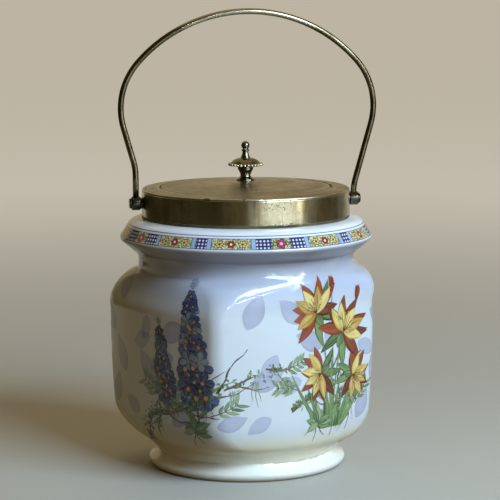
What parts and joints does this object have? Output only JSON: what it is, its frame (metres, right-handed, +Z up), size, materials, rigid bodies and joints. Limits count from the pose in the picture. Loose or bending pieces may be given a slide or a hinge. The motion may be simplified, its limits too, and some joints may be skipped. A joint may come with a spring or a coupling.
{
  "type": "biscuit jar",
  "caption": "Square-bellied glazed earthenware biscuit jar with a round metal collar, a lift-off domed metal lid with a turned finial, and a swinging bow handle",
  "frame": {"origin": "centre of the foot on the table; the rounded square belly and the bent bow reach a little further one way than the other", "axes": "+Z up; X along the pivots of the handle, +X towards the right pivot; +Y towards the back"},
  "size_m": [0.1467, 0.1394, 0.2513],
  "materials": {
    "glaze": "glossy white glaze with printed flower sprays and a mosaic border on the flange",
    "cement": "set plaster cement",
    "collar_metal": "worn plated brass, satin and spotted",
    "lid_metal": "worn plated brass, satin and spotted",
    "handle_metal": "worn plated brass rod, satin",
    "fitting_metal": "worn plated brass",
    "finial_metal": "worn plated brass castings",
    "screw_metal": "plain brass"
  },
  "bodies": {
    "jar": {"jar_body": "glaze", "rim_cement": "cement", "collar_band": "collar_metal", "pivot_boss_left": "fitting_metal", "pivot_boss_right": "fitting_metal", "pivot_pin_left": "fitting_metal", "pivot_pin_right": "fitting_metal", "pivot_nut_left": "screw_metal", "pivot_nut_right": "screw_metal"},
    "lid": {"lid_plate": "lid_metal", "lid_skirt": "lid_metal", "finial_foot": "finial_metal", "finial_pedestal": "finial_metal", "finial_dish": "finial_metal", "finial_knob": "finial_metal", "finial_stud": "screw_metal", "finial_washer": "screw_metal", "finial_nut": "screw_metal"},
    "handle": {"handle_bow": "handle_metal", "handle_knuckle_left": "fitting_metal", "handle_knuckle_right": "fitting_metal"}
  },
  "joints": [
    {"name": "lid_lift", "type": "slide", "parent": "jar", "child": "lid", "axis": [0, 0, 1], "range_m": [0, 0.055]},
    {"name": "handle_swing", "type": "hinge", "parent": "jar", "child": "handle", "pos_m": [0, 0, 0.146], "axis": [1, 0, 0], "range_deg": [-113, 113]}
  ]
}
